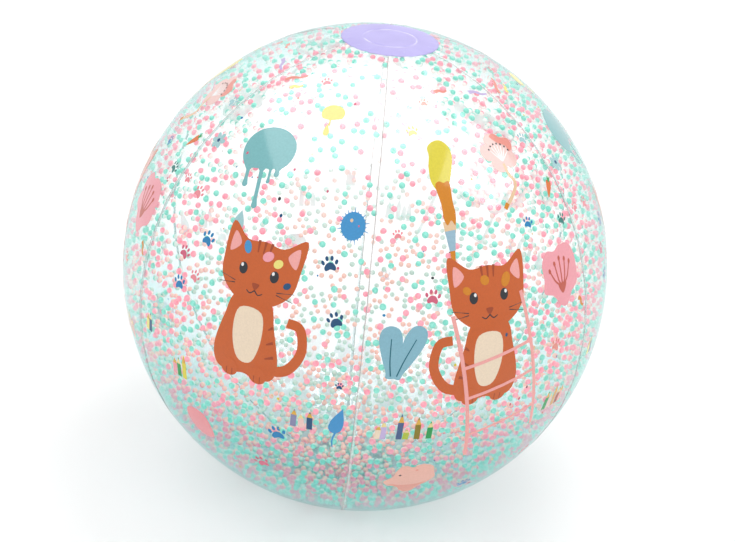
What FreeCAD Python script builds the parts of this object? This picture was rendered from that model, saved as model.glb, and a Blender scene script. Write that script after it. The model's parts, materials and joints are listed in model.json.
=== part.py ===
import FreeCAD, Part
import math
import os

# Clear inflatable beach ball with loose foam beads inside, in millimetres.
# The origin is the centre of the flat patch that the ball rests on, +Z runs up the polar
# axis, and the front of the ball faces -Y. A longitude is measured from -Y towards +X, so
# the seam between gore_1 and gore_6 lies on the front. Latitude 0 is the equator.

# Envelope. Half a meridian is a flat patch at the pole, a blend arc and one long arch.
EQUATOR_RADIUS = 175.0
ARCH_OFFSET = 3.0  # the arch's centre lies this far beyond the polar axis
HALF_HEIGHT = 175.2  # from the equator to the flat patch at each pole
FLAT_RADIUS = 21.0

# Panels
GORE_COUNT = 6
FILM = 0.25
TIP_RADIUS = 16.0  # the gores' tips end here, under the discs
LAP_HALF_WIDTH = 1.2
LAP_SPREAD = 3.0  # degrees of panel that each lap strip is cut from, on each side of its seam

# Discs that cover the tips
DISC_RADIUS = 33.5
DISC_FILM = 0.3
RING_RADIUS = 18.25  # pressed ring line in each disc
RING_WIDTH = 0.9
RING_DEPTH = 0.12
LAP_END_RADIUS = DISC_RADIUS + 0.4

# Valve, stowed: the stem is pushed in until its mouth is level with the film.
VALVE_GORE = 4
VALVE_LATITUDE = 6.5
VALVE_OPENING = 7.0
FLANGE_RADIUS = 11.5
FLANGE_BASE = -1.6  # heights in the valve are measured outwards from the film's outer face
STEM_RADIUS = 4.6
STEM_BORE = 3.0
STEM_TOP = -0.1
STEM_BASE = -10.4
COLLAR_RADIUS = 6.2
COLLAR_THICKNESS = 0.8
ROOT_RADIUS = 5.6
ROOT_THICKNESS = 0.8
CUFF_WALL = 0.5
CUFF_CLEARANCE = 0.1
CUFF_LIP = 0.6  # the cuff's rim reaches this far under the flange
FLAP_RADIUS = 3.9
FLAP_THICKNESS = 0.5
FLAP_GAP = 0.1
HINGE_RADIUS = 0.35
HINGE_OFFSET = 4.6  # from the stem's axis to the flap's hinge line
HINGE_LENGTH = 4.0
WEB_OVERLAP = 1.0  # the hinge web runs this far into the flap
PLUG_RADIUS = 2.95
PLUG_LENGTH = 7.0
PLUG_HEAD_RADIUS = 4.4
PLUG_HEAD_THICKNESS = 1.2
PLUG_EDGE = 0.4
TAB_REACH = 9.0
TAB_WIDTH = 4.4
TAB_THICKNESS = 0.9
TAB_ANGLE = -60.0
STRAP_INNER = 4.8
STRAP_OUTER = 6.1
STRAP_THICKNESS = 0.9
STRAP_GAP = 0.1  # between the strap and the collar that it lies on
STRAP_START = 25.0  # angles about the stem's axis
STRAP_END = 205.0
LUG_SWEEP = 12.0
FOOT_SWEEP = 14.0
LUG_OVERLAP = 1.0  # the lug runs this far into the plug's head

# Foam beads that cling to the wall
BEAD_RADIUS = 2.1
BEAD_GAP = 0.15
BEADS_PER_COLOUR = 110
BEAD_CROWDING = 0.72  # below 1 crowds the beads towards the bottom of the ball
VALVE_CLEARANCE = 20.0

# Derived sizes
GORE_ANGLE = 360.0 / GORE_COUNT
CENTRE_HEIGHT = HALF_HEIGHT + DISC_FILM
ARCH_RADIUS = EQUATOR_RADIUS + ARCH_OFFSET
BLEND_RADIUS = (
    ARCH_RADIUS**2 - HALF_HEIGHT**2 - (FLAT_RADIUS + ARCH_OFFSET) ** 2
) / (2 * (ARCH_RADIUS - HALF_HEIGHT))
BLEND_ANGLE = math.asin((FLAT_RADIUS + ARCH_OFFSET) / (ARCH_RADIUS - BLEND_RADIUS))
GOLDEN_ANGLE = math.pi * (3 - math.sqrt(5))
MARGIN = 1.0  # how far cutting shapes stand clear of what they cut
ANGLE_TOLERANCE = 1e-9
OUT = "parts"


def save(name, shape):
    shape.exportStep(os.path.join(OUT, name + ".step"))


def wall_point(tilt, offset):
    """Radius and height above the equator of the wall at a tilt from the pole.

    The tilt is the angle between the wall's outward normal and the polar axis.
    """
    if tilt < BLEND_ANGLE:
        reach = BLEND_RADIUS + offset
        radius = FLAT_RADIUS + reach * math.sin(tilt)
        return radius, HALF_HEIGHT - BLEND_RADIUS + reach * math.cos(tilt)
    reach = ARCH_RADIUS + offset
    return reach * math.sin(tilt) - ARCH_OFFSET, reach * math.cos(tilt)


def blend_tilt(radius, offset):
    """The wall's tilt where the blend arc reaches this radius."""
    return math.asin((radius - FLAT_RADIUS) / (BLEND_RADIUS + offset))


def arc(start, middle, end):
    return Part.Arc(start, middle, end).toShape()


def profile_point(radius, height):
    return FreeCAD.Vector(radius, 0, height)


def wall_arc(low_tilt, high_tilt, offset, sign):
    """Part of the meridian between two tilts on one side of their shared arc."""
    tilts = (low_tilt, (low_tilt + high_tilt) / 2, high_tilt)
    points = [wall_point(tilt, offset) for tilt in tilts]
    return arc(*[profile_point(radius, sign * height) for radius, height in points])


def meridian(inner_radius, offset):
    """Edges of the wall from the upper pole to the lower one, starting at a radius."""
    blend_end = BLEND_ANGLE - ANGLE_TOLERANCE
    if inner_radius < FLAT_RADIUS:
        flat_height = HALF_HEIGHT + offset
        rim = profile_point(FLAT_RADIUS, flat_height)
        upper = [
            Part.makeLine(profile_point(inner_radius, flat_height), rim),
            wall_arc(0, blend_end, offset, 1),
        ]
        rim = profile_point(FLAT_RADIUS, -flat_height)
        lower = [
            wall_arc(blend_end, 0, offset, -1),
            Part.makeLine(rim, profile_point(inner_radius, -flat_height)),
        ]
    else:
        start = blend_tilt(inner_radius, offset)
        upper = [wall_arc(start, blend_end, offset, 1)]
        lower = [wall_arc(blend_end, start, offset, -1)]
    radius, height = wall_point(BLEND_ANGLE, offset)
    middle = arc(
        profile_point(radius, height),
        profile_point(EQUATOR_RADIUS + offset, 0),
        profile_point(radius, -height),
    )
    return upper + [middle] + lower


def ends(edges):
    return edges[0].firstVertex().Point, edges[-1].lastVertex().Point


def about_pole(face, start_longitude, sweep):
    """Revolves a half-plane face about the polar axis, and lifts it onto its rest."""
    centre = FreeCAD.Vector(0, 0, 0)
    axis = FreeCAD.Vector(0, 0, 1)
    turned = face.copy()
    turned.rotate(centre, axis, start_longitude - 90)
    solid = turned.revolve(centre, axis, sweep)
    solid.translate(FreeCAD.Vector(0, 0, CENTRE_HEIGHT))
    return solid


def shell_face(inner_radius, inner_offset, outer_offset):
    """Section of a wall from pole to pole between two offsets from the film's face."""
    outer = meridian(inner_radius, outer_offset)
    inner = meridian(inner_radius, inner_offset)
    outer_top, outer_bottom = ends(outer)
    inner_top, inner_bottom = ends(inner)
    bottom_cap = Part.makeLine(outer_bottom, inner_bottom)
    top_cap = Part.makeLine(inner_top, outer_top)
    return Part.Face(Part.Wire(outer + [bottom_cap] + inner[::-1] + [top_cap]))


def lap_strip(longitude):
    """The part of a panel that laps over the next one, a band of constant width."""
    face = shell_face(LAP_END_RADIUS, 0, FILM)
    sector = about_pole(face, longitude - LAP_SPREAD, 2 * LAP_SPREAD)
    slab = Part.makeBox(
        EQUATOR_RADIUS + FILM + MARGIN,
        2 * LAP_HALF_WIDTH,
        2 * (CENTRE_HEIGHT + MARGIN),
        FreeCAD.Vector(0, -LAP_HALF_WIDTH, -MARGIN),
    )
    slab.rotate(FreeCAD.Vector(0, 0, 0), FreeCAD.Vector(0, 0, 1), longitude - 90)
    return sector.common(slab)


def make_gore(index, valve):
    """One film panel with the lap along its far edge.

    Each half is revolved by itself, so that the panel's widest point lies on an edge.
    """
    start = index * GORE_ANGLE
    half_angle = GORE_ANGLE / 2
    face = shell_face(TIP_RADIUS, -FILM, 0)
    near_half = about_pole(face, start, half_angle)
    far_half = about_pole(face, start + half_angle, half_angle)
    panel = near_half.fuse([far_half, lap_strip(start + GORE_ANGLE)]).Solids[0]
    if index == VALVE_GORE - 1:
        opening = valve.cylinder(VALVE_OPENING, FLANGE_BASE, MARGIN)
        panel = panel.cut(opening).Solids[0]
    return panel


def disc_face(thickness_base, thickness_top):
    """Section of a disc that follows the wall, from the axis to its rim."""
    edge_top = blend_tilt(DISC_RADIUS, thickness_top)
    edge_base = blend_tilt(DISC_RADIUS, thickness_base)
    top = HALF_HEIGHT + thickness_top
    base = HALF_HEIGHT + thickness_base
    groove_in = RING_RADIUS - RING_WIDTH / 2
    groove_out = RING_RADIUS + RING_WIDTH / 2
    flat = [
        profile_point(FLAT_RADIUS, base),
        profile_point(0, base),
        profile_point(0, top),
        profile_point(groove_in, top),
        profile_point(groove_in, top - RING_DEPTH),
        profile_point(groove_out, top - RING_DEPTH),
        profile_point(groove_out, top),
        profile_point(FLAT_RADIUS, top),
    ]
    edges = [Part.makeLine(a, b) for a, b in zip(flat, flat[1:])]
    edges.append(wall_arc(0, edge_top, thickness_top, 1))
    outer_rim = profile_point(*wall_point(edge_top, thickness_top))
    inner_rim = profile_point(*wall_point(edge_base, thickness_base))
    edges.append(Part.makeLine(outer_rim, inner_rim))
    edges.append(wall_arc(edge_base, 0, thickness_base, 1))
    return Part.Face(Part.Wire(edges))


def make_disc(upper):
    face = disc_face(0, DISC_FILM)
    if not upper:
        face = face.mirror(FreeCAD.Vector(0, 0, 0), FreeCAD.Vector(0, 0, 1))
    return about_pole(face, 0, 360)


class ValveFrame:
    """Places shapes built round +Z with the film's outer face at height 0."""

    def __init__(self, longitude, latitude):
        tilt = math.radians(90 - latitude)
        radius, height = wall_point(tilt, 0)
        angle = math.radians(longitude)
        position = FreeCAD.Vector(
            radius * math.sin(angle), -radius * math.cos(angle), CENTRE_HEIGHT + height
        )
        lean = FreeCAD.Rotation(FreeCAD.Vector(1, 0, 0), 90 - latitude)
        turn = FreeCAD.Rotation(FreeCAD.Vector(0, 0, 1), longitude)
        self.placement = FreeCAD.Placement(position, turn.multiply(lean))
        self.position = position

    def place(self, shape):
        placed = shape.copy()
        placed.transformShape(self.placement.toMatrix(), True)
        return placed

    def cylinder(self, radius, low, high):
        return self.place(plain_cylinder(radius, low, high))


def plain_cylinder(radius, low, high):
    return Part.makeCylinder(radius, high - low, FreeCAD.Vector(0, 0, low))


def turned(outline):
    """A solid turned about +Z from a closed outline of (radius, height) points."""
    points = [profile_point(radius, height) for radius, height in outline]
    face = Part.Face(Part.makePolygon(points + points[:1]))
    return face.revolve(FreeCAD.Vector(0, 0, 0), FreeCAD.Vector(0, 0, 1), 360)


def ring_sector(inner, outer, low, high, start, end):
    """A block cut from a ring between two angles."""
    outline = [(inner, low), (outer, low), (outer, high), (inner, high)]
    points = [profile_point(radius, height) for radius, height in outline]
    face = Part.Face(Part.makePolygon(points + points[:1]))
    centre = FreeCAD.Vector(0, 0, 0)
    axis = FreeCAD.Vector(0, 0, 1)
    face.rotate(centre, axis, start)
    return face.revolve(centre, axis, end - start)


def make_flange(valve):
    """Ring welded to the inside of the film, so its upper face follows the film."""
    blank = plain_cylinder(FLANGE_RADIUS, FLANGE_BASE, MARGIN)
    blank = blank.cut(plain_cylinder(VALVE_OPENING, FLANGE_BASE - MARGIN, 2 * MARGIN))
    inside = meridian(0, -FILM)
    top, bottom = ends(inside)
    outline = Part.Wire(inside + [Part.makeLine(bottom, top)])
    air = about_pole(Part.Face(outline), 0, 360)
    return valve.place(blank).common(air).Solids[0]


def make_cuff():
    """Rolling skin from the flange down to the root of the pushed-in stem."""
    root_top = STEM_BASE + ROOT_THICKNESS
    inner = STEM_RADIUS + CUFF_CLEARANCE
    outline = [
        (VALVE_OPENING + CUFF_LIP, FLANGE_BASE),
        (VALVE_OPENING + CUFF_LIP, FLANGE_BASE - CUFF_WALL),
        (VALVE_OPENING, FLANGE_BASE - CUFF_WALL),
        (ROOT_RADIUS, root_top + CUFF_WALL),
        (ROOT_RADIUS, root_top),
        (inner, root_top),
        (inner, root_top + CUFF_WALL),
        (VALVE_OPENING - CUFF_WALL, FLANGE_BASE),
    ]
    return turned(outline)


def make_stem():
    """Tube with a collar at its mouth and a root that the cuff is moulded to."""
    outline = [
        (STEM_BORE, STEM_BASE),
        (ROOT_RADIUS, STEM_BASE),
        (ROOT_RADIUS, STEM_BASE + ROOT_THICKNESS),
        (STEM_RADIUS, STEM_BASE + ROOT_THICKNESS),
        (STEM_RADIUS, STEM_TOP - COLLAR_THICKNESS),
        (COLLAR_RADIUS, STEM_TOP - COLLAR_THICKNESS),
        (COLLAR_RADIUS, STEM_TOP),
        (STEM_BORE, STEM_TOP),
    ]
    return turned(outline)


def make_flap():
    """Flap under the stem with a round bead along its hinge line."""
    top = STEM_BASE - FLAP_GAP
    disc = plain_cylinder(FLAP_RADIUS, top - FLAP_THICKNESS, top)
    hinge_height = top - FLAP_THICKNESS / 2 - HINGE_RADIUS / 2
    bead = Part.makeCylinder(
        HINGE_RADIUS,
        HINGE_LENGTH,
        FreeCAD.Vector(HINGE_OFFSET, -HINGE_LENGTH / 2, hinge_height),
        FreeCAD.Vector(0, 1, 0),
    )
    web_start = FLAP_RADIUS - WEB_OVERLAP
    web = Part.makeBox(
        HINGE_OFFSET - web_start,
        HINGE_LENGTH,
        HINGE_RADIUS,
        FreeCAD.Vector(web_start, -HINGE_LENGTH / 2, hinge_height - HINGE_RADIUS / 2),
    )
    return disc.fuse(web).fuse(bead).removeSplitter().Solids[0]


def make_plug():
    """Stopper with a rounded head, a pull tab and the lug that its strap joins."""
    head_top = STEM_TOP + PLUG_HEAD_THICKNESS
    shank = plain_cylinder(PLUG_RADIUS, STEM_TOP - PLUG_LENGTH, STEM_TOP)
    tip_edges = [edge for edge in shank.Edges if edge.BoundBox.ZMax < STEM_TOP - PLUG_EDGE]
    shank = shank.makeFillet(PLUG_EDGE, tip_edges)
    head = plain_cylinder(PLUG_HEAD_RADIUS, STEM_TOP, head_top)
    rim = [edge for edge in head.Edges if edge.BoundBox.ZMin > head_top - PLUG_EDGE]
    head = head.makeFillet(PLUG_EDGE, rim)
    tab_low = head_top - TAB_THICKNESS
    tab_end = TAB_REACH - TAB_WIDTH / 2
    tab = Part.makeBox(
        tab_end, TAB_WIDTH, TAB_THICKNESS, FreeCAD.Vector(0, -TAB_WIDTH / 2, tab_low)
    )
    tip = Part.makeCylinder(TAB_WIDTH / 2, TAB_THICKNESS, FreeCAD.Vector(tab_end, 0, tab_low))
    tab = tab.fuse(tip)
    tab.rotate(FreeCAD.Vector(0, 0, 0), FreeCAD.Vector(0, 0, 1), TAB_ANGLE)
    strap_low = STEM_TOP + STRAP_GAP
    lug = ring_sector(
        PLUG_HEAD_RADIUS - LUG_OVERLAP,
        STRAP_OUTER,
        strap_low,
        strap_low + STRAP_THICKNESS,
        STRAP_START - LUG_SWEEP,
        STRAP_START,
    )
    return shank.fuse([head, tab, lug]).removeSplitter().Solids[0]


def make_strap():
    """Strap wound round the plug's head, with a foot that stands on the collar."""
    low = STEM_TOP + STRAP_GAP
    band = ring_sector(
        STRAP_INNER, STRAP_OUTER, low, low + STRAP_THICKNESS, STRAP_START, STRAP_END
    )
    foot = ring_sector(
        STRAP_INNER, STRAP_OUTER, STEM_TOP, low, STRAP_END - FOOT_SWEEP, STRAP_END
    )
    return band.fuse(foot).removeSplitter().Solids[0]


def make_beads(valve, colour_index):
    """Beads of one colour against the inner wall, spread by the golden angle."""
    beads = []
    for step in range(colour_index, 2 * BEADS_PER_COLOUR, 2):
        share = (step + 0.5) / (2 * BEADS_PER_COLOUR)
        tilt = math.acos(1 - 2 * share**BEAD_CROWDING)
        # The lower half of the wall mirrors the upper half.
        upper_tilt = min(tilt, math.pi - tilt)
        radius, height = wall_point(upper_tilt, -FILM - BEAD_GAP - BEAD_RADIUS)
        if tilt > math.pi / 2:
            height = -height
        angle = step * GOLDEN_ANGLE
        centre = FreeCAD.Vector(
            radius * math.sin(angle), -radius * math.cos(angle), CENTRE_HEIGHT + height
        )
        if centre.distanceToPoint(valve.position) > VALVE_CLEARANCE:
            beads.append(Part.makeSphere(BEAD_RADIUS, centre))
    return Part.makeCompound(beads)


def main():
    os.makedirs(OUT, exist_ok=True)
    valve = ValveFrame((VALVE_GORE - 0.5) * GORE_ANGLE, VALVE_LATITUDE)
    for index in range(GORE_COUNT):
        save("gore_%d" % (index + 1), make_gore(index, valve))
    save("top_disc", make_disc(True))
    save("bottom_disc", make_disc(False))
    save("valve_flange", make_flange(valve))
    save("valve_cuff", valve.place(make_cuff()))
    save("valve_stem", valve.place(make_stem()))
    save("check_flap", valve.place(make_flap()))
    save("valve_plug", valve.place(make_plug()))
    save("plug_strap", valve.place(make_strap()))
    save("beads_pink", make_beads(valve, 0))
    save("beads_mint", make_beads(valve, 1))


main()
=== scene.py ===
import json
import math
import random

import bmesh
import bpy
import numpy as np
from mathutils import Matrix, Vector, geometry


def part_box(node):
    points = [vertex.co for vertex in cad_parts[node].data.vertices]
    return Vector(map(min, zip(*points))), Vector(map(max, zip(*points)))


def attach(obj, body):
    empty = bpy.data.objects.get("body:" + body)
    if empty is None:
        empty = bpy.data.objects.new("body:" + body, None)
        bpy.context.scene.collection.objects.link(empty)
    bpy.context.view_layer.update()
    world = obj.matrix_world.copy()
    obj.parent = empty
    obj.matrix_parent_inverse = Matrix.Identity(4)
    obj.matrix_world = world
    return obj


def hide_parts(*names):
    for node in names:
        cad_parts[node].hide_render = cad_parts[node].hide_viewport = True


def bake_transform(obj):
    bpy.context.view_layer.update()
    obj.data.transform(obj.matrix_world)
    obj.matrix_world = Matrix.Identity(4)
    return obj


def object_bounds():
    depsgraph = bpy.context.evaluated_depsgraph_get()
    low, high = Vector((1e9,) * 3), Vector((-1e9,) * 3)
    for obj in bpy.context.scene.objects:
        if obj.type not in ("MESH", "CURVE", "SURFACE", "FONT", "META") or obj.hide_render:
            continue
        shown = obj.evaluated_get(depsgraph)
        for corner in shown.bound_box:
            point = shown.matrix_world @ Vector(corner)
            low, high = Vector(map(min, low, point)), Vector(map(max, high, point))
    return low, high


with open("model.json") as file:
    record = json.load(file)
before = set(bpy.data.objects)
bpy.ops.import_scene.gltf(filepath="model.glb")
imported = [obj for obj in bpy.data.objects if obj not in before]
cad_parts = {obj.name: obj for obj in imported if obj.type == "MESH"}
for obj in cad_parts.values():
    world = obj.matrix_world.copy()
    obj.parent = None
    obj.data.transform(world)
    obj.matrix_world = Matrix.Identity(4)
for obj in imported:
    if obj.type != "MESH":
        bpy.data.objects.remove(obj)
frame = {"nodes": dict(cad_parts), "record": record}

CAD_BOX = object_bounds()

# The ball's frame, in metres. Longitude is measured from -Y towards +X, and latitude is the
# slope of the wall's normal. North is +Z.
GORE_COUNT = 6
PANEL = 360 / GORE_COUNT
CENTRE = Vector((0, 0, (CAD_BOX[0][2] + CAD_BOX[1][2]) / 2))
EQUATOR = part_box("gore_2")[1].x
HALF_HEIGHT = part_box("gore_2")[1].z - CENTRE.z
ARCH_OFFSET = 0.003
ARCH = EQUATOR + ARCH_OFFSET
FLAT = 0.021
FILM = 0.00025
TIP = 0.016
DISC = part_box("top_disc")[1].x
DISC_FILM = CAD_BOX[1][2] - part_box("gore_2")[1].z
BLEND = (ARCH**2 - HALF_HEIGHT**2 - (FLAT + ARCH_OFFSET) ** 2) / (2 * (ARCH - HALF_HEIGHT))
BLEND_TILT = math.asin((FLAT + ARCH_OFFSET) / (ARCH - BLEND))
BLEND_LATITUDE = 90 - math.degrees(BLEND_TILT)
MM = 0.001


# ---------------------------------------------------------------- the wall


def wall(latitude, lift):
    """Radius and height above the centre of the wall, for arrays of latitudes in degrees."""
    latitude = np.asarray(latitude, float)
    tilt = np.radians(90 - np.abs(latitude))
    on_blend = tilt < BLEND_TILT
    arch_radius = (ARCH + lift) * np.sin(tilt) - ARCH_OFFSET
    arch_height = (ARCH + lift) * np.cos(tilt)
    blend_radius = FLAT + (BLEND + lift) * np.sin(tilt)
    blend_height = HALF_HEIGHT - BLEND + (BLEND + lift) * np.cos(tilt)
    radius = np.where(on_blend, blend_radius, arch_radius)
    height = np.where(on_blend, blend_height, arch_height) * np.sign(latitude)
    return radius, height


def relief(longitude, latitude):
    """How far the inflated film stands off its ideal shape: puckers and slow waves."""
    longitude = np.asarray(longitude, float)
    latitude = np.asarray(latitude, float)
    radius, _ = wall(latitude, 0)
    from_seam = (longitude + PANEL / 2) % PANEL - PANEL / 2
    seam_gap = np.radians(np.abs(from_seam)) * radius
    beat = np.sin(np.radians(latitude * 31 + 40 * np.sin(np.radians(latitude * 5))))
    beat = beat + 0.6 * np.sin(np.radians(latitude * 53 + longitude * 9))
    seam_pucker = 0.00013 * beat * np.exp(-((seam_gap / 0.010) ** 2))
    seam_valley = -0.00028 * np.exp(-((seam_gap / 0.0045) ** 2))
    rim_gap = radius - DISC
    ripple = np.sin(np.radians(longitude * 22)) + 0.7 * np.sin(np.radians(longitude * 37 + 50))
    rim_pucker = 0.00022 * ripple * np.exp(-((rim_gap / 0.016) ** 2))
    wave = np.sin(np.radians(longitude * 4 + latitude * 3)) * np.sin(np.radians(latitude * 5 + 30))
    slow = 0.00018 * wave * np.clip(radius / EQUATOR, 0, 1)
    fade = np.clip((radius - TIP) / 0.010, 0, 1)
    return (seam_pucker + seam_valley + rim_pucker + slow) * fade


def on_wall(longitude, latitude, lift):
    """Points on the wall, lifted outwards, as an array of rows."""
    lift = np.asarray(lift, float) + relief(longitude, latitude)
    radius, height = wall(latitude, lift)
    angle = np.radians(np.asarray(longitude, float))
    return np.stack([radius * np.sin(angle), -radius * np.cos(angle), CENTRE.z + height], -1)


def make_mesh(name, points, faces, materials, smooth=True):
    mesh = bpy.data.meshes.new(name)
    mesh.from_pydata([tuple(point) for point in points], [], faces)
    mesh.validate()
    for material in materials:
        mesh.materials.append(material)
    form = bmesh.new()
    form.from_mesh(mesh)
    bmesh.ops.recalc_face_normals(form, faces=form.faces)
    form.to_mesh(mesh)
    form.free()
    mesh.polygons.foreach_set("use_smooth", [smooth] * len(mesh.polygons))
    piece = bpy.data.objects.new(name, mesh)
    bpy.context.scene.collection.objects.link(piece)
    return piece


def grid_faces(rows, columns, first, flip, closed=False):
    """Quads of a grid whose points run along its rows."""
    faces = []
    span = columns if closed else columns - 1
    for row in range(rows - 1):
        for column in range(span):
            after = (column + 1) % columns
            a = first + row * columns + column
            b = first + row * columns + after
            c = b + columns
            d = a + columns
            faces.append((a, d, c, b) if flip else (a, b, c, d))
    return faces


def rim_faces(rows, columns, shift):
    """Quads that join the borders of two equal grids, the second one shift points on."""
    border = list(range(columns))
    border += [row * columns + columns - 1 for row in range(1, rows)]
    border += [(rows - 1) * columns + column for column in range(columns - 2, -1, -1)]
    border += [row * columns for row in range(rows - 2, 0, -1)]
    faces = []
    for a, b in zip(border, border[1:] + border[:1]):
        faces.append((b, a, a + shift, b + shift))
    return faces


def latitude_at(radius):
    """Latitude of the upper blend where it has this radius."""
    return 90 - math.degrees(math.asin((radius - FLAT) / BLEND))


# ---------------------------------------------------------------- colours and nodes


def linear(hex_colour):
    """Linear RGBA of a #RRGGBB colour."""
    channels = [int(hex_colour[i : i + 2], 16) / 255 for i in (1, 3, 5)]
    rgb = [c / 12.92 if c <= 0.04045 else ((c + 0.055) / 1.055) ** 2.4 for c in channels]
    return (*rgb, 1.0)


class Nodes:
    """A short way to build a material's node tree."""

    def __init__(self, name):
        self.material = bpy.data.materials.new(name)
        self.material.use_nodes = True
        self.tree = self.material.node_tree
        self.tree.nodes.clear()
        self.output = self.tree.nodes.new("ShaderNodeOutputMaterial")

    def add(self, kind, links=None, **settings):
        node = self.tree.nodes.new("ShaderNode" + kind)
        for key, value in settings.items():
            setattr(node, key, value)
        for socket, source in (links or {}).items():
            self.put(node, socket, source)
        return node

    def put(self, node, socket, source):
        if isinstance(source, bpy.types.NodeSocket):
            self.tree.links.new(source, node.inputs[socket])
        else:
            node.inputs[socket].default_value = source

    def math(self, operation, first, second=0.0, clamp=False):
        node = self.add("Math", {0: first, 1: second}, operation=operation, use_clamp=clamp)
        return node.outputs[0]

    def ramp(self, factor, stops, interpolation="LINEAR"):
        node = self.add("ValToRGB", {0: factor})
        ramp = node.color_ramp
        ramp.interpolation = interpolation
        while len(ramp.elements) < len(stops):
            ramp.elements.new(0.5)
        for element, (position, colour) in zip(ramp.elements, stops):
            element.position = position
            element.color = colour
        return node.outputs[0]

    def mix_colour(self, factor, first, second, blend="MIX"):
        node = self.add("Mix", data_type="RGBA", blend_type=blend)
        self.put(node, 0, factor)
        self.put(node, 6, first)
        self.put(node, 7, second)
        return node.outputs[2]

    def map_range(self, value, low, high, to_low=0.0, to_high=1.0):
        links = {0: value, 1: low, 2: high, 3: to_low, 4: to_high}
        return self.add("MapRange", links).outputs[0]

    def noise(self, scale, detail=3.0, vector=None):
        links = {"Scale": scale, "Detail": detail}
        if vector is not None:
            links["Vector"] = vector
        return self.add("TexNoise", links).outputs["Fac"]

    def bump(self, height, strength, distance):
        links = {"Height": height, "Strength": strength, "Distance": distance}
        return self.add("Bump", links).outputs[0]

    def object_point(self):
        return self.add("TexCoord").outputs["Object"]

    def finish(self, shader):
        self.tree.links.new(shader, self.output.inputs["Surface"])
        return self.material


def grey(value):
    return (value, value, value, 1.0)


# ---------------------------------------------------------------- materials

AQUA_LOW = (0.90, 0.965, 0.97, 1.0)
AQUA_MIDDLE = (0.95, 0.98, 0.985, 1.0)
AQUA_DEEP = (0.79, 0.915, 0.93, 1.0)
AQUA_EDGE = (0.55, 0.85, 0.84, 1.0)
CLEAR = (1.0, 1.0, 1.0, 1.0)
INK_LEVEL = 0.76
FOAM_LEVEL = 0.90
# Painted glow of the foam beads: emission strength on the side towards the wall and on the side towards the
# inside.
FOAM_PAINTED_GLOW = 0.30
FOAM_PAINTED_GLOW_INWARD = 0.32


def height_share(nodes, low, high):
    """0 at a height of low metres and 1 at high metres."""
    parts = nodes.add("SeparateXYZ", {0: nodes.object_point()})
    return nodes.map_range(parts.outputs["Z"], low, high)


def film_material():
    nodes = Nodes("clear_film")
    cloud = nodes.noise(9.0, 2.0, nodes.object_point())
    share = height_share(nodes, 0.0, 0.105)
    share = nodes.math("ADD", share, nodes.math("MULTIPLY", cloud, 0.10), clamp=True)
    body = nodes.ramp(share, [(0.05, AQUA_LOW), (0.40, AQUA_MIDDLE), (0.98, CLEAR)])
    facing = nodes.add("LayerWeight", {"Blend": 0.5}).outputs["Facing"]
    graze = nodes.math("POWER", facing, 4.0)
    oblique = nodes.map_range(facing, 0.10, 0.50)
    low = height_share(nodes, 0.098, 0.167)
    low = nodes.math("SUBTRACT", 1.0, low)
    body = nodes.mix_colour(nodes.math("MULTIPLY", oblique, low), body, AQUA_DEEP)
    tint = nodes.mix_colour(graze, body, AQUA_EDGE)
    clear = nodes.add("BsdfTransparent", {"Color": tint})
    ripple = nodes.noise(60.0, 2.0, nodes.object_point())
    glossy = nodes.add("BsdfGlossy", {"Color": grey(1.0), "Roughness": 0.05})
    nodes.put(glossy, "Normal", nodes.bump(ripple, 0.10, 0.0006))
    rise = nodes.math("MULTIPLY", nodes.math("POWER", facing, 5.0), 0.75)
    share = nodes.math("ADD", rise, 0.045)
    mix = nodes.add("MixShader", {0: share, 1: clear.outputs[0], 2: glossy.outputs[0]})
    return nodes.finish(mix.outputs[0])


def lap_material():
    """Welded lap: clear film with a fine dull line on each edge and a bright one between, painted shade at
    the lap's edges and a painted highlight along its raised middle.
    """
    nodes = Nodes("welded_lap")
    across = nodes.add("Attribute", attribute_name="across").outputs["Fac"]
    # Painted shade and highlight: the dull colour marks shade at the lap's edges, the pale one a highlight
    # between them.
    dull = (0.50, 0.45, 0.44, 1.0)
    pale = (0.97, 0.97, 0.97, 1.0)
    colour = nodes.ramp(across, [(0.0, dull), (0.22, dull), (0.34, pale), (0.86, pale), (0.94, dull)])
    cover = nodes.ramp(
        across,
        [
            (0.0, grey(0.75)), (0.25, grey(0.7)), (0.38, grey(0.08)), (0.6, grey(0.3)),
            (0.8, grey(0.08)), (1.0, grey(0.15)),
        ],
    )
    mottle = nodes.map_range(nodes.noise(220.0, 3.0, nodes.object_point()), 0.35, 0.65, 0.6, 1.1)
    cover = nodes.math("MULTIPLY", cover, mottle, clamp=True)
    body = nodes.add("BsdfPrincipled", {"Base Color": colour, "Roughness": 0.25})
    clear = nodes.add("BsdfTransparent", {"Color": CLEAR})
    mix = nodes.add("MixShader", {0: cover, 1: clear.outputs[0], 2: body.outputs[0]})
    return nodes.finish(mix.outputs[0])


def ink_material():
    """Glossy screen print whose colour is stored on the mesh."""
    nodes = Nodes("screen_ink")
    ink = nodes.add("Attribute", attribute_name="ink").outputs["Color"]
    grain = nodes.noise(900.0, 4.0, nodes.object_point())
    worn = nodes.map_range(grain, 0.3, 0.7, 0.94 * INK_LEVEL, 1.04 * INK_LEVEL)
    colour = nodes.mix_colour(1.0, ink, worn, "MULTIPLY")
    body = nodes.add("BsdfPrincipled", {"Base Color": colour, "Roughness": 0.09})
    body.inputs["Specular IOR Level"].default_value = 0.5
    wave = nodes.noise(60.0, 2.0, nodes.object_point())
    nodes.put(body, "Normal", nodes.bump(wave, 0.10, 0.0006))
    return nodes.finish(body.outputs[0])


def underbase_material():
    """White backing of a print, a little bright from a painted glow: it emits a little of its own colour."""
    nodes = Nodes("white_underbase")
    grain = nodes.noise(600.0, 3.0, nodes.object_point())
    colour = nodes.ramp(grain, [(0.3, grey(0.95)), (0.7, grey(0.99))])
    face = nodes.add("BsdfPrincipled", {"Base Color": colour, "Roughness": 0.9})
    # Painted glow: a small emission of the backing's own colour, though it is no lamp.
    nodes.put(face, "Emission Color", colour)
    face.inputs["Emission Strength"].default_value = 0.12
    return nodes.finish(face.outputs[0])


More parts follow.
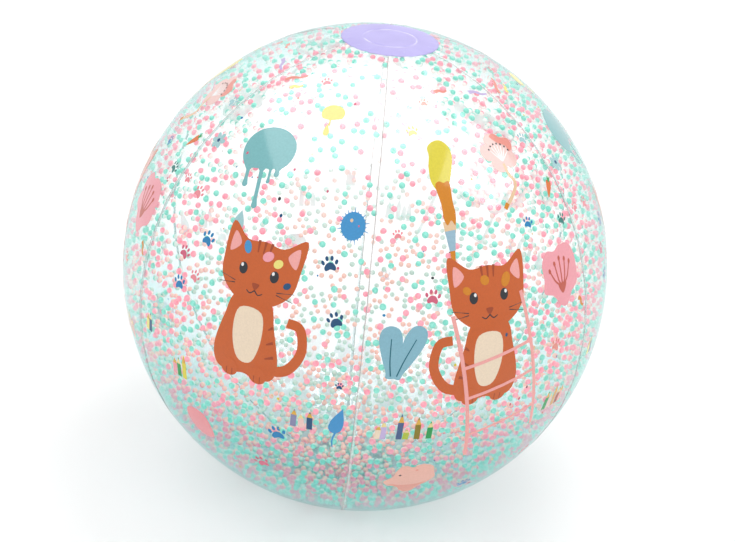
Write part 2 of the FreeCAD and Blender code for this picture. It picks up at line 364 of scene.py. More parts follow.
def bead_material(name, bright, deep, painted_haze_low, painted_haze_high):
    """Foam bead: full colour towards the wall, and paler towards the inside of the ball, a painted haze of
    light that is paler still higher up. It also has a painted glow.
    """
    nodes = Nodes(name)
    place = nodes.add("VectorMath", {0: nodes.object_point(), 1: tuple(CENTRE)}, operation="SUBTRACT")
    outward = nodes.add("VectorMath", {0: place.outputs[0]}, operation="NORMALIZE")
    normal = nodes.add("TexCoord").outputs["Normal"]
    facing = nodes.add("VectorMath", {0: outward.outputs[0], 1: normal}, operation="DOT_PRODUCT")
    share = nodes.map_range(facing.outputs["Value"], -0.25, 0.15)
    mottle = nodes.map_range(nodes.noise(420.0, 2.0, nodes.object_point()), 0.3, 0.7)
    colour = nodes.mix_colour(mottle, deep, bright)
    # Painted haze: the side facing the inside of the ball is mixed towards the pale colours, paler higher
    # up.
    rise = height_share(nodes, 0.10, 0.22)
    colour = nodes.mix_colour(share, nodes.mix_colour(rise, painted_haze_low, painted_haze_high), colour)
    colour = nodes.mix_colour(1.0, colour, grey(FOAM_LEVEL), "MULTIPLY")
    body = nodes.add("BsdfPrincipled", {"Base Color": colour, "Roughness": 0.55})
    # Painted glow: the bead emits its own colour, though it is no lamp.
    nodes.put(body, "Emission Color", colour)
    nodes.put(body, "Emission Strength", nodes.map_range(share, 0.0, 1.0, FOAM_PAINTED_GLOW_INWARD, FOAM_PAINTED_GLOW))
    cells = nodes.add("TexVoronoi", {"Scale": 2600.0, "Vector": nodes.object_point()})
    nodes.put(body, "Normal", nodes.bump(cells.outputs["Distance"], 0.35, 0.0002))
    return nodes.finish(body.outputs[0])


def disc_material():
    """Lilac sheet vinyl with a painted highlight, broken in places, along its pressed ring."""
    nodes = Nodes("lilac_disc")
    point = nodes.add("SeparateXYZ", {0: nodes.object_point()})
    reach = nodes.math("POWER", point.outputs["X"], 2.0)
    reach = nodes.math("ADD", reach, nodes.math("POWER", point.outputs["Y"], 2.0))
    reach = nodes.math("SQRT", reach)
    # Painted highlight: a pale, broken line along the pressed ring, where its edge would catch the light.
    from_ring = nodes.math("ABSOLUTE", nodes.math("SUBTRACT", reach, RING))
    ring = nodes.map_range(from_ring, 0.0003, 0.0008, 1.0, 0.0)
    broken = nodes.map_range(nodes.noise(70.0, 3.0, nodes.object_point()), 0.42, 0.58)
    ring = nodes.math("MULTIPLY", ring, broken)
    cloud = nodes.noise(40.0, 3.0, nodes.object_point())
    lilac = nodes.ramp(cloud, [(0.3, linear("#A49BD3")), (0.7, linear("#AFA7DC"))])
    colour = nodes.mix_colour(ring, lilac, (0.70, 0.67, 0.90, 1.0))
    body = nodes.add("BsdfPrincipled", {"Base Color": colour, "Roughness": 0.3})
    body.inputs["Specular IOR Level"].default_value = 0.3
    grain = nodes.noise(1500.0, 2.0, nodes.object_point())
    nodes.put(body, "Normal", nodes.bump(grain, 0.12, 0.0003))
    return nodes.finish(body.outputs[0])


def clear_disc_material():
    """Clear sheet vinyl, a little cloudy, as on the lower end."""
    nodes = Nodes("clear_disc")
    cloud = nodes.noise(60.0, 3.0, nodes.object_point())
    tint = nodes.ramp(cloud, [(0.3, (0.92, 0.97, 0.97, 1.0)), (0.7, (0.95, 0.985, 0.98, 1.0))])
    clear = nodes.add("BsdfTransparent", {"Color": tint})
    body = nodes.add("BsdfPrincipled", {"Base Color": (0.55, 0.84, 0.82, 1.0), "Roughness": 0.15})
    mix = nodes.add("MixShader", {0: 0.05, 1: clear.outputs[0], 2: body.outputs[0]})
    return nodes.finish(mix.outputs[0])


def soft_vinyl_material(name, tint, cover):
    """Moulded clear vinyl of the valve, cloudy where it is thick."""
    nodes = Nodes(name)
    cloud = nodes.map_range(nodes.noise(300.0, 2.0, nodes.object_point()), 0.3, 0.7, 0.9, 1.05)
    colour = nodes.mix_colour(1.0, tint, cloud, "MULTIPLY")
    body = nodes.add("BsdfPrincipled", {"Base Color": colour, "Roughness": 0.2})
    body.inputs["Subsurface Weight"].default_value = 0.3
    body.inputs["Subsurface Radius"].default_value = (0.003, 0.003, 0.003)
    clear = nodes.add("BsdfTransparent", {"Color": CLEAR})
    facing = nodes.add("LayerWeight", {"Blend": 0.4}).outputs["Facing"]
    share = nodes.map_range(facing, 0.0, 0.9, cover, 1.0)
    mix = nodes.add("MixShader", {0: share, 1: clear.outputs[0], 2: body.outputs[0]})
    return nodes.finish(mix.outputs[0])


def floor_material():
    nodes = Nodes("pale_floor")
    grain = nodes.noise(4.0, 2.0, nodes.object_point())
    colour = nodes.ramp(grain, [(0.3, grey(0.93)), (0.7, grey(0.95))])
    body = nodes.add("BsdfDiffuse", {"Color": colour, "Roughness": 0.5})
    return nodes.finish(body.outputs[0])


# ---------------------------------------------------------------- film, laps and discs

RING = 0.01825
RING_WIDTH = 0.0009
RING_DEPTH = 0.00012
COLUMNS = 61


def meridian_latitudes():
    """Rows of the film's grid from the upper tip to the lower one, finer near the poles."""
    upper = list(np.linspace(latitude_at(FLAT + 1e-6), BLEND_LATITUDE, 16))
    upper += list(np.linspace(BLEND_LATITUDE - 1.3, 1.3, 58))
    return upper + [0.0] + [-value for value in reversed(upper)]


def panel_grid(start, lift):
    """Points of a panel, with one more row at each end that runs over the flat patch."""
    longitudes = np.linspace(start, start + PANEL, COLUMNS)
    rows = []
    angle = np.radians(longitudes)
    tip_height = HALF_HEIGHT + lift
    for sign in (1, -1):
        tip = [TIP * np.sin(angle), -TIP * np.cos(angle), CENTRE.z + sign * tip_height + 0 * angle]
        rows.append(np.stack(tip, -1))
    body = [on_wall(longitudes, np.full(COLUMNS, value), lift) for value in meridian_latitudes()]
    return [rows[0]] + body + [rows[1]]


def make_panel(index, material):
    start = index * PANEL
    outer = panel_grid(start, 0)
    inner = panel_grid(start, -FILM)
    rows = len(outer)
    points = np.concatenate(outer + inner)
    shift = rows * COLUMNS
    faces = grid_faces(rows, COLUMNS, 0, True)
    faces += grid_faces(rows, COLUMNS, shift, False)
    faces += rim_faces(rows, COLUMNS, shift)
    name = "film_panel_%d" % (index + 1)
    piece = make_mesh(name, points, faces, [material])
    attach(piece, "ball")
    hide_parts("gore_%d" % (index + 1))
    return piece


def make_lap(index, material):
    """Raised band along the seam at the far edge of a panel."""
    longitude = (index + 1) * PANEL
    half_width = 1.2 * MM
    end_latitude = latitude_at(DISC + 0.4 * MM)
    latitudes = np.linspace(end_latitude, -end_latitude, 241)
    section = np.array([-1.0, -0.6, -0.2, 0.2, 0.6, 1.0])
    height = np.array([0.06, 0.22, 0.25, 0.25, 0.22, 0.06]) * MM
    radius, _ = wall(latitudes, 0)
    top = []
    base = []
    for latitude, reach in zip(latitudes, radius):
        wander = 0.12 * MM * math.sin(math.radians(latitude * 23))
        sides = longitude + np.degrees((section * half_width + wander) / reach)
        flat = np.full(len(section), latitude)
        top.append(on_wall(sides, flat, height))
        base.append(on_wall(sides, flat, 0.01 * MM))
    rows = len(top)
    columns = len(section)
    shift = rows * columns
    faces = grid_faces(rows, columns, 0, True)
    faces += grid_faces(rows, columns, shift, False)
    faces += rim_faces(rows, columns, shift)
    piece = make_mesh("weld_lap_%d" % (index + 1), np.concatenate(top + base), faces, [material])
    across = piece.data.attributes.new("across", "FLOAT", "POINT")
    across.data.foreach_set("value", np.tile((section + 1) / 2, 2 * rows).astype(np.float32))
    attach(piece, "ball")
    return piece


def disc_profile():
    """(radius, height) along a disc's top and back along its underside, above the centre."""
    top = HALF_HEIGHT + DISC_FILM
    inside = RING - RING_WIDTH / 2
    outside = RING + RING_WIDTH / 2
    flat = [(0.004, top), (0.010, top), (0.015, top), (inside - 0.1 * MM, top)]
    flat += [(inside + 0.1 * MM, top - RING_DEPTH), (outside - 0.1 * MM, top - RING_DEPTH)]
    flat += [(outside + 0.1 * MM, top), (FLAT, top)]
    curve = []
    for share in (0.2, 0.4, 0.6, 0.8, 0.93, 1.0):
        radius = FLAT + (DISC - FLAT) * share
        tilt = math.asin((radius - FLAT) / (BLEND + DISC_FILM))
        curve.append((radius, HALF_HEIGHT - BLEND + (BLEND + DISC_FILM) * math.cos(tilt)))
    edge_radius, edge_height = curve[-1]
    curve[-1] = (edge_radius, edge_height - 0.1 * MM)
    under = [(radius, height - 0.26 * MM) for radius, height in reversed(curve)]
    under += [(FLAT, HALF_HEIGHT), (0.004, HALF_HEIGHT)]
    return flat + curve + under


def make_end_disc(name, node, sign, material):
    profile = disc_profile()
    columns = 144
    points = []
    for radius, height in profile:
        for column in range(columns):
            angle = 2 * math.pi * column / columns
            edge = max(0.0, (radius - 0.026) / (DISC - 0.026))
            ripple = 0.10 * MM * math.sin(22 * angle) + 0.06 * MM * math.sin(37 * angle + 0.9)
            level = height + ripple * edge
            points.append(
                (radius * math.sin(angle), -radius * math.cos(angle), CENTRE.z + sign * level)
            )
    rows = len(profile)
    flip = sign > 0
    faces = grid_faces(rows, columns, 0, not flip, closed=True)
    points.append((0, 0, CENTRE.z + sign * (HALF_HEIGHT + DISC_FILM)))
    points.append((0, 0, CENTRE.z + sign * HALF_HEIGHT))
    top, base = len(points) - 2, len(points) - 1
    last = (rows - 1) * columns
    for column in range(columns):
        after = (column + 1) % columns
        cap = (top, column, after) if flip else (top, after, column)
        floor = (base, last + after, last + column) if flip else (base, last + column, last + after)
        faces += [cap, floor]
    piece = make_mesh(name, points, faces, [material])
    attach(piece, "ball")
    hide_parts(node)
    return piece


# ---------------------------------------------------------------- outlines, in millimetres


def smooth_loop(points, steps=5):
    """Closed Catmull-Rom curve through the points."""
    count = len(points)
    result = []
    for index in range(count):
        a, b, c, d = (np.array(points[(index + k) % count], float) for k in (-1, 0, 1, 2))
        for step in range(steps):
            t = step / steps
            curve = 2 * b + (c - a) * t + (2 * a - 5 * b + 4 * c - d) * t**2
            result.append(tuple(0.5 * (curve + (3 * b - a - 3 * c + d) * t**3)))
    return result


def ellipse(width, height, centre=(0, 0), turn=0.0, count=20):
    """Outline of an ellipse of a full width and height."""
    spin = math.radians(turn)
    points = []
    for step in range(count):
        angle = 2 * math.pi * step / count
        x = width / 2 * math.cos(angle)
        y = height / 2 * math.sin(angle)
        points.append(
            (
                centre[0] + x * math.cos(spin) - y * math.sin(spin),
                centre[1] + x * math.sin(spin) + y * math.cos(spin),
            )
        )
    return points


def petals(radius, depth, lobes, first=90.0, count=90):
    """Rounded lobes about a centre."""
    points = []
    for step in range(count):
        swell = abs(math.sin(math.pi * lobes * step / count)) ** 0.6
        reach = radius * (1 - depth + depth * swell)
        angle = math.radians(first - 180 / lobes) + 2 * math.pi * step / count
        points.append((reach * math.cos(angle), reach * math.sin(angle)))
    return points


def strip(points, width, end_width=None):
    """Band of even or tapering width along an open line."""
    end_width = width if end_width is None else end_width
    left = []
    right = []
    last = len(points) - 1
    for index, point in enumerate(points):
        before = np.array(points[max(0, index - 1)], float)
        after = np.array(points[min(last, index + 1)], float)
        along = (after - before) / max(np.linalg.norm(after - before), 1e-9)
        side = np.array([-along[1], along[0]])
        half = (width + (end_width - width) * index / last) / 2
        left.append(tuple(np.array(point) + side * half))
        right.append(tuple(np.array(point) - side * half))
    return right + left[::-1]


def curved(points, steps=6):
    """Open Catmull-Rom curve through the points."""
    ends = [points[0]] + list(points) + [points[-1]]
    result = []
    for index in range(1, len(ends) - 2):
        a, b, c, d = (np.array(ends[index + k], float) for k in (-1, 0, 1, 2))
        for step in range(steps):
            t = step / steps
            curve = 2 * b + (c - a) * t + (2 * a - 5 * b + 4 * c - d) * t**2
            result.append(tuple(0.5 * (curve + (3 * b - a - 3 * c + d) * t**3)))
    return result + [tuple(points[-1])]


def teardrop(width, height):
    """Drop with its point at the top."""
    points = []
    for step in range(28):
        angle = 2 * math.pi * step / 28
        x = width * 0.65 * math.sin(angle) * math.sin(angle / 2) ** 1.4
        points.append((-x, height / 2 * math.cos(angle)))
    return points


def dripping(radius, drips):
    """Round splat with drips, each (place, width, length), hanging from its lower edge."""
    hem = -0.66 * radius
    points = []
    first = math.radians(-36)
    for step in range(41):
        angle = first + (math.pi - 2 * first) * step / 40
        points.append((radius * math.cos(angle), radius * 0.92 * math.sin(angle)))
    for place, width, length in drips:
        half = width / 2
        neck = half * 0.62
        points.append((place - neck * 2.0, hem - neck * 0.2))
        points.append((place - neck * 1.1, hem - neck * 1.4))
        points.append((place - neck, hem - length + width * 1.1))
        for step in range(9):
            angle = math.pi + math.pi * step / 8
            x = place + half * math.cos(angle)
            points.append((x, hem - length + half * math.sin(angle)))
        points.append((place + neck, hem - length + width * 1.1))
        points.append((place + neck * 1.1, hem - neck * 1.4))
        points.append((place + neck * 2.0, hem - neck * 0.2))
    return points


def turned(outline, angle=0.0, size=1.0, shift=(0, 0)):
    spin = math.radians(angle)
    c, s = math.cos(spin) * size, math.sin(spin) * size
    return [(x * c - y * s + shift[0], x * s + y * c + shift[1]) for x, y in outline]


# ---------------------------------------------------------------- prints

PRINT_CLEARANCE = 0.04 * MM
PRINT_STEP = 0.06 * MM
PRINT_THICKNESS = 0.045 * MM


class PrintSheet:
    """All the prints of one panel, as thin closed shapes on the film."""

    def __init__(self):
        self.points = []
        self.faces = []
        self.inks = []
        self.white = []

    def add(self, outline, colour, longitude, latitude, layer=0):
        """Lays a shape down, with its origin at a place on the ball and +Y towards north."""
        flat, triangles = fill(outline)
        across, up = np.array(flat).T * MM
        latitudes = latitude + np.degrees(up / ARCH)
        radius, _ = wall(latitudes, 0)
        longitudes = longitude + np.degrees(across / radius)
        from_seam = (longitudes + PANEL / 2) % PANEL - PANEL / 2
        on_lap = np.radians(np.abs(from_seam)) * radius < 1.6 * MM
        low = PRINT_CLEARANCE + layer * PRINT_STEP + np.where(on_lap, 0.26 * MM, 0)
        base = on_wall(longitudes, latitudes, low)
        top = on_wall(longitudes, latitudes, low + PRINT_THICKNESS)
        first = len(self.points)
        count = len(flat)
        self.points.extend(top.tolist())
        self.points.extend(base.tolist())
        sides = {}
        for a, b, c in triangles:
            self.face((first + a, first + b, first + c), colour, False)
            self.face((first + count + a, first + count + c, first + count + b), colour, True)
            for edge in ((a, b), (b, c), (c, a)):
                sides[edge] = True
        for a, b in sides:
            if (b, a) not in sides:
                quad = (first + b, first + a, first + count + a, first + count + b)
                self.face(quad, colour, False)

    def face(self, corners, colour, white):
        self.faces.append(corners)
        self.inks.append(colour)
        self.white.append(white)

    def build(self, name, materials):
        mesh = bpy.data.meshes.new(name)
        mesh.from_pydata(self.points, [], self.faces)
        for material in materials:
            mesh.materials.append(material)
        mesh.polygons.foreach_set("material_index", [int(white) for white in self.white])
        mesh.polygons.foreach_set("use_smooth", [False] * len(self.faces))
        ink = mesh.attributes.new("ink", "FLOAT_COLOR", "CORNER")
        values = []
        for corners, colour in zip(self.faces, self.inks):
            values.extend(colour * len(corners))
        ink.data.foreach_set("color", values)
        piece = bpy.data.objects.new(name, mesh)
        bpy.context.scene.collection.objects.link(piece)
        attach(piece, "ball")
        return piece


def fill(outline, spacing=3.0):
    """Triangles over an outline, with points inside so that it can bend with the ball."""
    loop = [Vector(point) for point in outline]
    xs = [point[0] for point in outline]
    ys = [point[1] for point in outline]
    inside = []
    row = 0
    y = min(ys) + spacing / 2
    while y < max(ys):
        x = min(xs) + spacing / 2 + (spacing / 2) * (row % 2)
        while x < max(xs):
            if encloses(outline, x, y):
                inside.append(Vector((x, y)))
            x += spacing
        y += spacing * 0.87
        row += 1
    edges = [(index, (index + 1) % len(loop)) for index in range(len(loop))]
    cut = geometry.delaunay_2d_cdt(loop + inside, edges, [], 1, 1e-4)
    flat = [tuple(point) for point in cut[0]]
    triangles = []
    for a, b, c in cut[2]:
        ax, ay = flat[a]
        area = (flat[b][0] - ax) * (flat[c][1] - ay) - (flat[c][0] - ax) * (flat[b][1] - ay)
        triangles.append((a, b, c) if area > 0 else (a, c, b))
    used = sorted({corner for triangle in triangles for corner in triangle})
    place = {old: new for new, old in enumerate(used)}
    return [flat[old] for old in used], [tuple(place[k] for k in t) for t in triangles]


def encloses(outline, x, y):
    inside = False
    for (x0, y0), (x1, y1) in zip(outline, outline[1:] + outline[:1]):
        if (y0 > y) != (y1 > y) and x < (x1 - x0) * (y - y0) / (y1 - y0) + x0:
            inside = not inside
    return inside


def local(longitude, latitude, origin):
    """A place on the ball as millimetres across and up from an origin."""
    up = math.radians(latitude - origin[1]) * ARCH / MM
    radius, _ = wall(latitude, 0)
    return math.radians(longitude - origin[0]) * float(radius) / MM, up


TEAL = linear("#7DBFC3")
LIGHT_TEAL = linear("#A9D6DA")
YELLOW = linear("#FBEE84")
BRUSH_YELLOW = linear("#E9DA3F")
OCHRE = linear("#DF8A06")
FERRULE = linear("#9FC3D6")
BLUE = linear("#3F9AD6")
NAVY = linear("#0B4F7D")
PAW_BLUE = linear("#0E87C3")
ROSE = linear("#DE6583")
PINK = linear("#F995A0")
DARK_TEAL = linear("#1F7F77")
ORANGE = linear("#D4621F")
DARK_ORANGE = linear("#A8430F")
CREAM = linear("#FBE6CB")
# PETAL is a pencil colour and, on one flower, a painted reflection over salmon petals.
PETAL = linear("#FBD2CB")
SALMON = linear("#F49A8C")
BLOOM = linear("#FFAAB5")
RUST = linear("#CC5A45")
LADDER_PINK = linear("#FFB1AC")
LEAF = linear("#8CC1D3")
VEIN = linear("#1F6F80")
WHITE = linear("#FFFFFF")
BLACK = linear("#20242C")
LILAC = linear("#CDBBE8")
OLIVE = linear("#8E7C00")
GREEN = linear("#14A24E")
LIME = linear("#B9C93A")
GREY_LILAC = linear("#8E8FB5")
PALE_STEM = linear("#F3CFA6")


def paw(sheet, at, colour, turn=0.0, size=1.0):
    pad = smooth_loop(
        [(-2.9, -3.4), (0, -2.5), (2.9, -3.4), (3.7, -1.2), (1.6, 1.6), (-1.6, 1.6), (-3.7, -1.2)]
    )
    sheet.add(turned(pad, turn, size), colour, *at)
    for x, y, lean in ((-4.3, 1.9, 20), (-1.6, 4.4, 6), (1.6, 4.4, -6), (4.3, 1.9, -20)):
        toe = ellipse(2.1, 3.3, (x, y), lean, 12)
        sheet.add(turned(toe, turn, size), colour, *at)


def dot(sheet, at, colour, width=1.6, height=None):
    sheet.add(ellipse(width, height or width, count=10), colour, *at)


def splat(sheet, at, colour, radius, drips, lean=0.0):
    sheet.add(turned(dripping(radius, drips), lean), colour, *at)


def spiky_splat(sheet, at, colour, radius):
    """Blot with a short fine spike on every side."""
    draw = random.Random(8)
    count = 24
    points = []
    for step in range(count):
        reach = radius * draw.uniform(1.06, 1.38)
        foot = radius * 1.02
        spike = ((-0.5, radius), (-0.16, foot), (-0.04, reach), (0.04, reach), (0.16, foot))
        for offset, length in spike:
            angle = 2 * math.pi * (step + offset) / count
            points.append((length * math.cos(angle), 1.18 * length * math.sin(angle)))
    sheet.add(points, colour, *at)


def pencil(sheet, at, colour, height, across=0.0, lean=0.0, tip=CREAM):
    half = 1.95
    shoulder = 0.66 * height
    neck = 0.88 * height
    barrel = [(-half, 0), (half, 0), (half, shoulder), (-half, shoulder)]
    wood = [(-half, shoulder), (half, shoulder), (0.7, neck), (-0.7, neck)]
    lead = [(-0.72, neck), (0.72, neck), (0, height)]
    for outline, ink in ((barrel, colour), (wood, tip), (lead, colour)):
        sheet.add(turned(outline, lean, 1.0, (across, 0)), ink, *at)


def pencils(sheet, at, row):
    """A row of pencils, each (place across, height, colour)."""
    for index, (across, height, colour) in enumerate(row):
        tip = linear("#F7E3A0") if index % 2 else linear("#E9B545")
        pencil(sheet, at, colour, height, across, (-3, 2, 0)[index % 3], tip)


def leaf(length, width):
    """Paddle-shaped leaf that stands on its origin."""
    half = width / 2
    side = [(0.40, 0.0), (0.44, 0.12), (0.74, 0.36), (1.0, 0.64), (1.0, 0.80), (0.72, 0.94)]
    right = [(half * x, length * y) for x, y in side]
    left = [(-half * x, length * y) for x, y in reversed(side)]
    return smooth_loop(right + [(0, length)] + left)


def plant(sheet, at):
    """Two broad leaves with dark veins."""
    for layer, (across, length, width, lean) in enumerate(((-1.6, 35, 14.5, 4), (1.6, 38, 13.5, -22))):
        blade = turned(leaf(length, width), lean, 1.0, (across, 0))
        sheet.add(blade, LEAF, *at, layer)
        stalk = curved([(0, 0.04 * length), (-0.5, 0.35 * length), (0.3, 0.76 * length)])
        sheet.add(turned(strip(stalk, 0.9, 0.6), lean, 1.0, (across, 0)), VEIN, *at, 2)


def flower_with_painted_reflection(sheet, at, foot):
    """Blossom with cut petals on a long stem; the petals' pale pink is a painted reflection over their
    salmon, which shows at the upper right.
    """
    # Painted reflection: the petals are pale pink where a softbox would be reflected over them.
    sheet.add(turned(petals(14.5, 0.30, 5), 10), PETAL, *at)
    # Salmon at the upper right: the petals' own colour, outside the painted reflection.
    under = [(-1.5, 12), (3, 13.5), (7, 9.5), (12.5, 8), (13.4, 2), (9, -1), (7.5, 3.5), (2.5, 6.5)]
    sheet.add(smooth_loop(under), SALMON, *at, 1)
    stem = [local(*foot, at), (1.4, -24), (-0.6, -15), (-0.8, -8)]
    sheet.add(strip(curved(stem), 2.6, 2.0), PALE_STEM, *at, 1)
    sheet.add(strip([stem[0], (stem[0][0] * 0.8 + 0.4, stem[0][1] + 3.4)], 2.8), OCHRE, *at, 2)
    for angle in (-44, -26, -8, 10, 28, 46, 64):
        spin = math.radians(angle)
        tip = (9.6 * math.sin(spin) - 0.5, -5 + 11.4 * math.cos(spin))
        sheet.add(strip([(-0.7, -6.5), tip], 0.9, 0.45), WHITE, *at, 2)
        sheet.add(ellipse(1.3, 1.5, tip, count=10), BLACK, *at, 3)


def big_flower(sheet, at):
    """Pink bloom with five long petals and a fan of dark stamens."""
    bloom = smooth_loop(
        [
            (-3, -15), (3, -17), (8, -11), (14, -7), (15, 0), (14, 9), (10, 15), (2, 16),
            (-3, 14), (-9, 15), (-14, 9), (-14, 1), (-15, -6), (-8, -9),
        ]
    )
    size = 1.25
    sheet.add(turned(bloom, 0, size), BLOOM, *at)
    heart = smooth_loop([(0, -9.5), (3.6, -4.5), (0.2, -3.6), (-3.4, -4.5)])
    sheet.add(turned(heart, 0, size), RUST, *at, 1)
    for across, height in ((-9.0, 4.5), (-4.4, 7.5), (0, 9.5), (4.4, 8.0), (8.4, 5.5)):
        bend = (across * 0.62, -1.5)
        stamen = strip(curved([(across * 0.16, -5), bend, (across, height)]), 1.1, 0.8)
        sheet.add(turned(stamen, 0, size), RUST, *at, 1)
        head = ellipse(1.9, 2.8, (across, height), -across, 10)
        sheet.add(turned(head, 0, size), RUST, *at, 2)


def daisy(sheet, at, petal, heart, size=1.0):
    for step in range(6):
        angle = math.radians(60 * step + 12)
        centre = (3.4 * math.cos(angle), 3.4 * math.sin(angle))
        shape = ellipse(4.6, 3.2, centre, 60 * step + 12, 14)
        sheet.add(turned(shape, 0, size), petal, *at, step % 2)
    sheet.add(turned(ellipse(2.6, 2.6, count=12), 0, size), heart, *at, 2)


def brush(sheet, at):
    """Paint brush with a wet yellow tip that stands on its handle."""
    bristle = smooth_loop(
        [
            (-2.5, 16), (3, 17), (8, 12), (9, 5), (7, -4), (4, -13), (0, -18), (-5, -17),
            (-8, -11), (-8, -2), (-6.5, 6), (-6.5, 12),
        ]
    )
    sheet.add(bristle, BRUSH_YELLOW, *at)
    paint = smooth_loop(
        [
            (-5.6, -15), (-3.2, -11.5), (0.2, -12.5), (3.4, -11.5), (4.4, -16), (4.6, -25),
            (5.6, -33), (4.6, -40), (2.2, -37), (-0.6, -40), (-2.6, -36), (-3.4, -26),
        ]
    )
    sheet.add(paint, OCHRE, *at, 1)
    sheet.add([(-3.6, -38), (5.4, -36.5), (4.6, -45), (-2.6, -46)], PALE_STEM, *at)
    sheet.add([(-2.8, -44), (4.4, -43), (3.4, -56), (-0.6, -56.5)], FERRULE, *at, 1)
    sheet.add([(-0.4, -55), (3.2, -54.5), (3.0, -74), (0.6, -74.5)], OCHRE, *at)


def ladder(sheet, feet, heads):
    """Two leaning rails with three slanting rungs."""
    origin = ((feet[0][0] + heads[1][0]) / 2, (feet[0][1] + heads[1][1]) / 2)
    rails = []
    for foot, head in zip(feet, heads):
        low = np.array(local(*foot, origin))
        high = np.array(local(*head, origin))
        rails.append((low, high))
        line = [tuple(low + (high - low) * k / 8) for k in range(9)]
        sheet.add(strip(line, 2.7), LADDER_PINK, *origin, 4)
    for share in (0.188, 0.47, 0.675):
        ends = [low + (high - low) * share for low, high in rails]
        line = [tuple(ends[0] + (ends[1] - ends[0]) * k / 4) for k in range(5)]
        sheet.add(strip(line, 2.3), LADDER_PINK, *origin, 4)


def cat(sheet, at, flip, spots):
    """Plain sitting cat seen from the front."""
    def put(outline, colour, layer):
        shape = [(flip * 1.30 * x, 1.42 * y) for x, y in outline]
        sheet.add(shape[::-1] if flip < 0 else shape, colour, *at, layer)

    tail = curved([(10, -38), (22, -36), (29, -26), (27, -15), (20, -13)])
    put(strip(tail, 5.4, 4.4), ORANGE, 0)
    body = smooth_loop(
        [
            (-15, -43), (-6, -44), (0, -43), (6, -44), (15, -43), (18, -34), (14, -18), (9, -6),
            (-9, -6), (-14, -18), (-18, -34),
        ]
    )
    put(body, ORANGE, 0)
    head = smooth_loop(
        [
            (-21, 9), (-20.5, 24), (-10, 18.5), (0, 19.5), (10, 18.5), (20.5, 24), (21, 9),
            (19, -1), (10, -8), (0, -10), (-10, -8), (-19, -1),
        ]
    )
    put(head, ORANGE, 1)
    chest = smooth_loop([(-6, -12), (6, -12), (8, -24), (4, -36), (-4, -36), (-8, -24)])
    put(chest, CREAM, 1)
    for side in (-1, 1):
        put(ellipse(10, 9, (side * 8, -42), 0, 18), ORANGE, 2)
        put(strip([(side * 6.2, -46), (side * 6.2, -42.5)], 0.5), DARK_ORANGE, 3)
        put(strip([(side * 9.4, -46), (side * 9.4, -42.5)], 0.5), DARK_ORANGE, 3)
        inner = smooth_loop([(side * 13, 15.5), (side * 18, 20), (side * 18.4, 11)])
        put(inner, LADDER_PINK, 2)
        put(ellipse(4.6, 5.4, (side * 8.6, 5.5), 0, 18), BLACK, 2)
        put(ellipse(1.5, 1.7, (side * 8.6 - 0.9, 6.8), 0, 10), WHITE, 3)
        put(strip(curved([(0, -2.8), (side * 2.2, -4.4), (side * 4.4, -3.4)]), 0.6, 0.4), BLACK, 2)
        for rise in (-1.6, 0.8):
            whisker = [(side * 11.5, -1.4 + rise * 0.4), (side * 20.5, -1.2 + rise * 1.6)]
            put(strip(whisker, 0.42, 0.25), BLACK, 2)
    put(smooth_loop([(-2.0, 0.2), (2.0, 0.2), (0, -2.6)]), DARK_ORANGE, 3)
    for step in (-1, 0, 1):
        put(strip([(step * 3.6, 19.5), (step * 3.0, 14.0)], 1.5, 0.6), DARK_ORANGE, 2)
    for height in (-17, -24, -31):
        stripe = curved([(15.5 - (height + 31) * 0.16, height), (11, height - 1.6)])
        put(strip(stripe, 1.6, 0.5), DARK_ORANGE, 2)
    for x, y, width, tall, colour in spots:
        put(ellipse(width, tall, (x, y), 25, 14), colour, 3)


def cloud(sheet, at):
    """Soft puddle with round lobes above, a blunt point below and a darker foot."""
    edge = smooth_loop(
        [(-11, 14), (-6, 18), (-1, 16), (5, 19), (13, 16), (15, 9), (17, 2), (13, -4),
         (8, -9), (3, -17), (-3, -16), (-8, -9), (-15, -6), (-18, -1), (-13, 5)]
    )
    sheet.add(edge, linear("#F9BFAE"), *at)
    foot = smooth_loop([(-14, -5), (0, -6.5), (12, -4), (7.5, -9), (3, -16.4), (-2.8, -15.4), (-7.8, -9)])
    sheet.add(foot, linear("#F0A493"), *at, 1)


def carrot(sheet, at, lean):
    root = smooth_loop([(-2.2, 4), (2.2, 4), (1.6, -3), (0, -8), (-1.6, -3)])
    sheet.add(turned(root, lean), linear("#E8762C"), *at)
    for spread in (-1.4, 0, 1.4):
        sheet.add(turned(strip([(0, 3.6), (spread, 7.6)], 1.2, 0.5), lean), GREEN, *at, 1)


def bookmark_streak(sheet, at, colour, lean, length=13):
    line = curved([(-length / 2, -1.0), (-length / 6, 0.6), (length / 6, -0.4), (length / 2, 1.0)])
    sheet.add(turned(strip(line, 3.2, 1.4), lean), colour, *at)


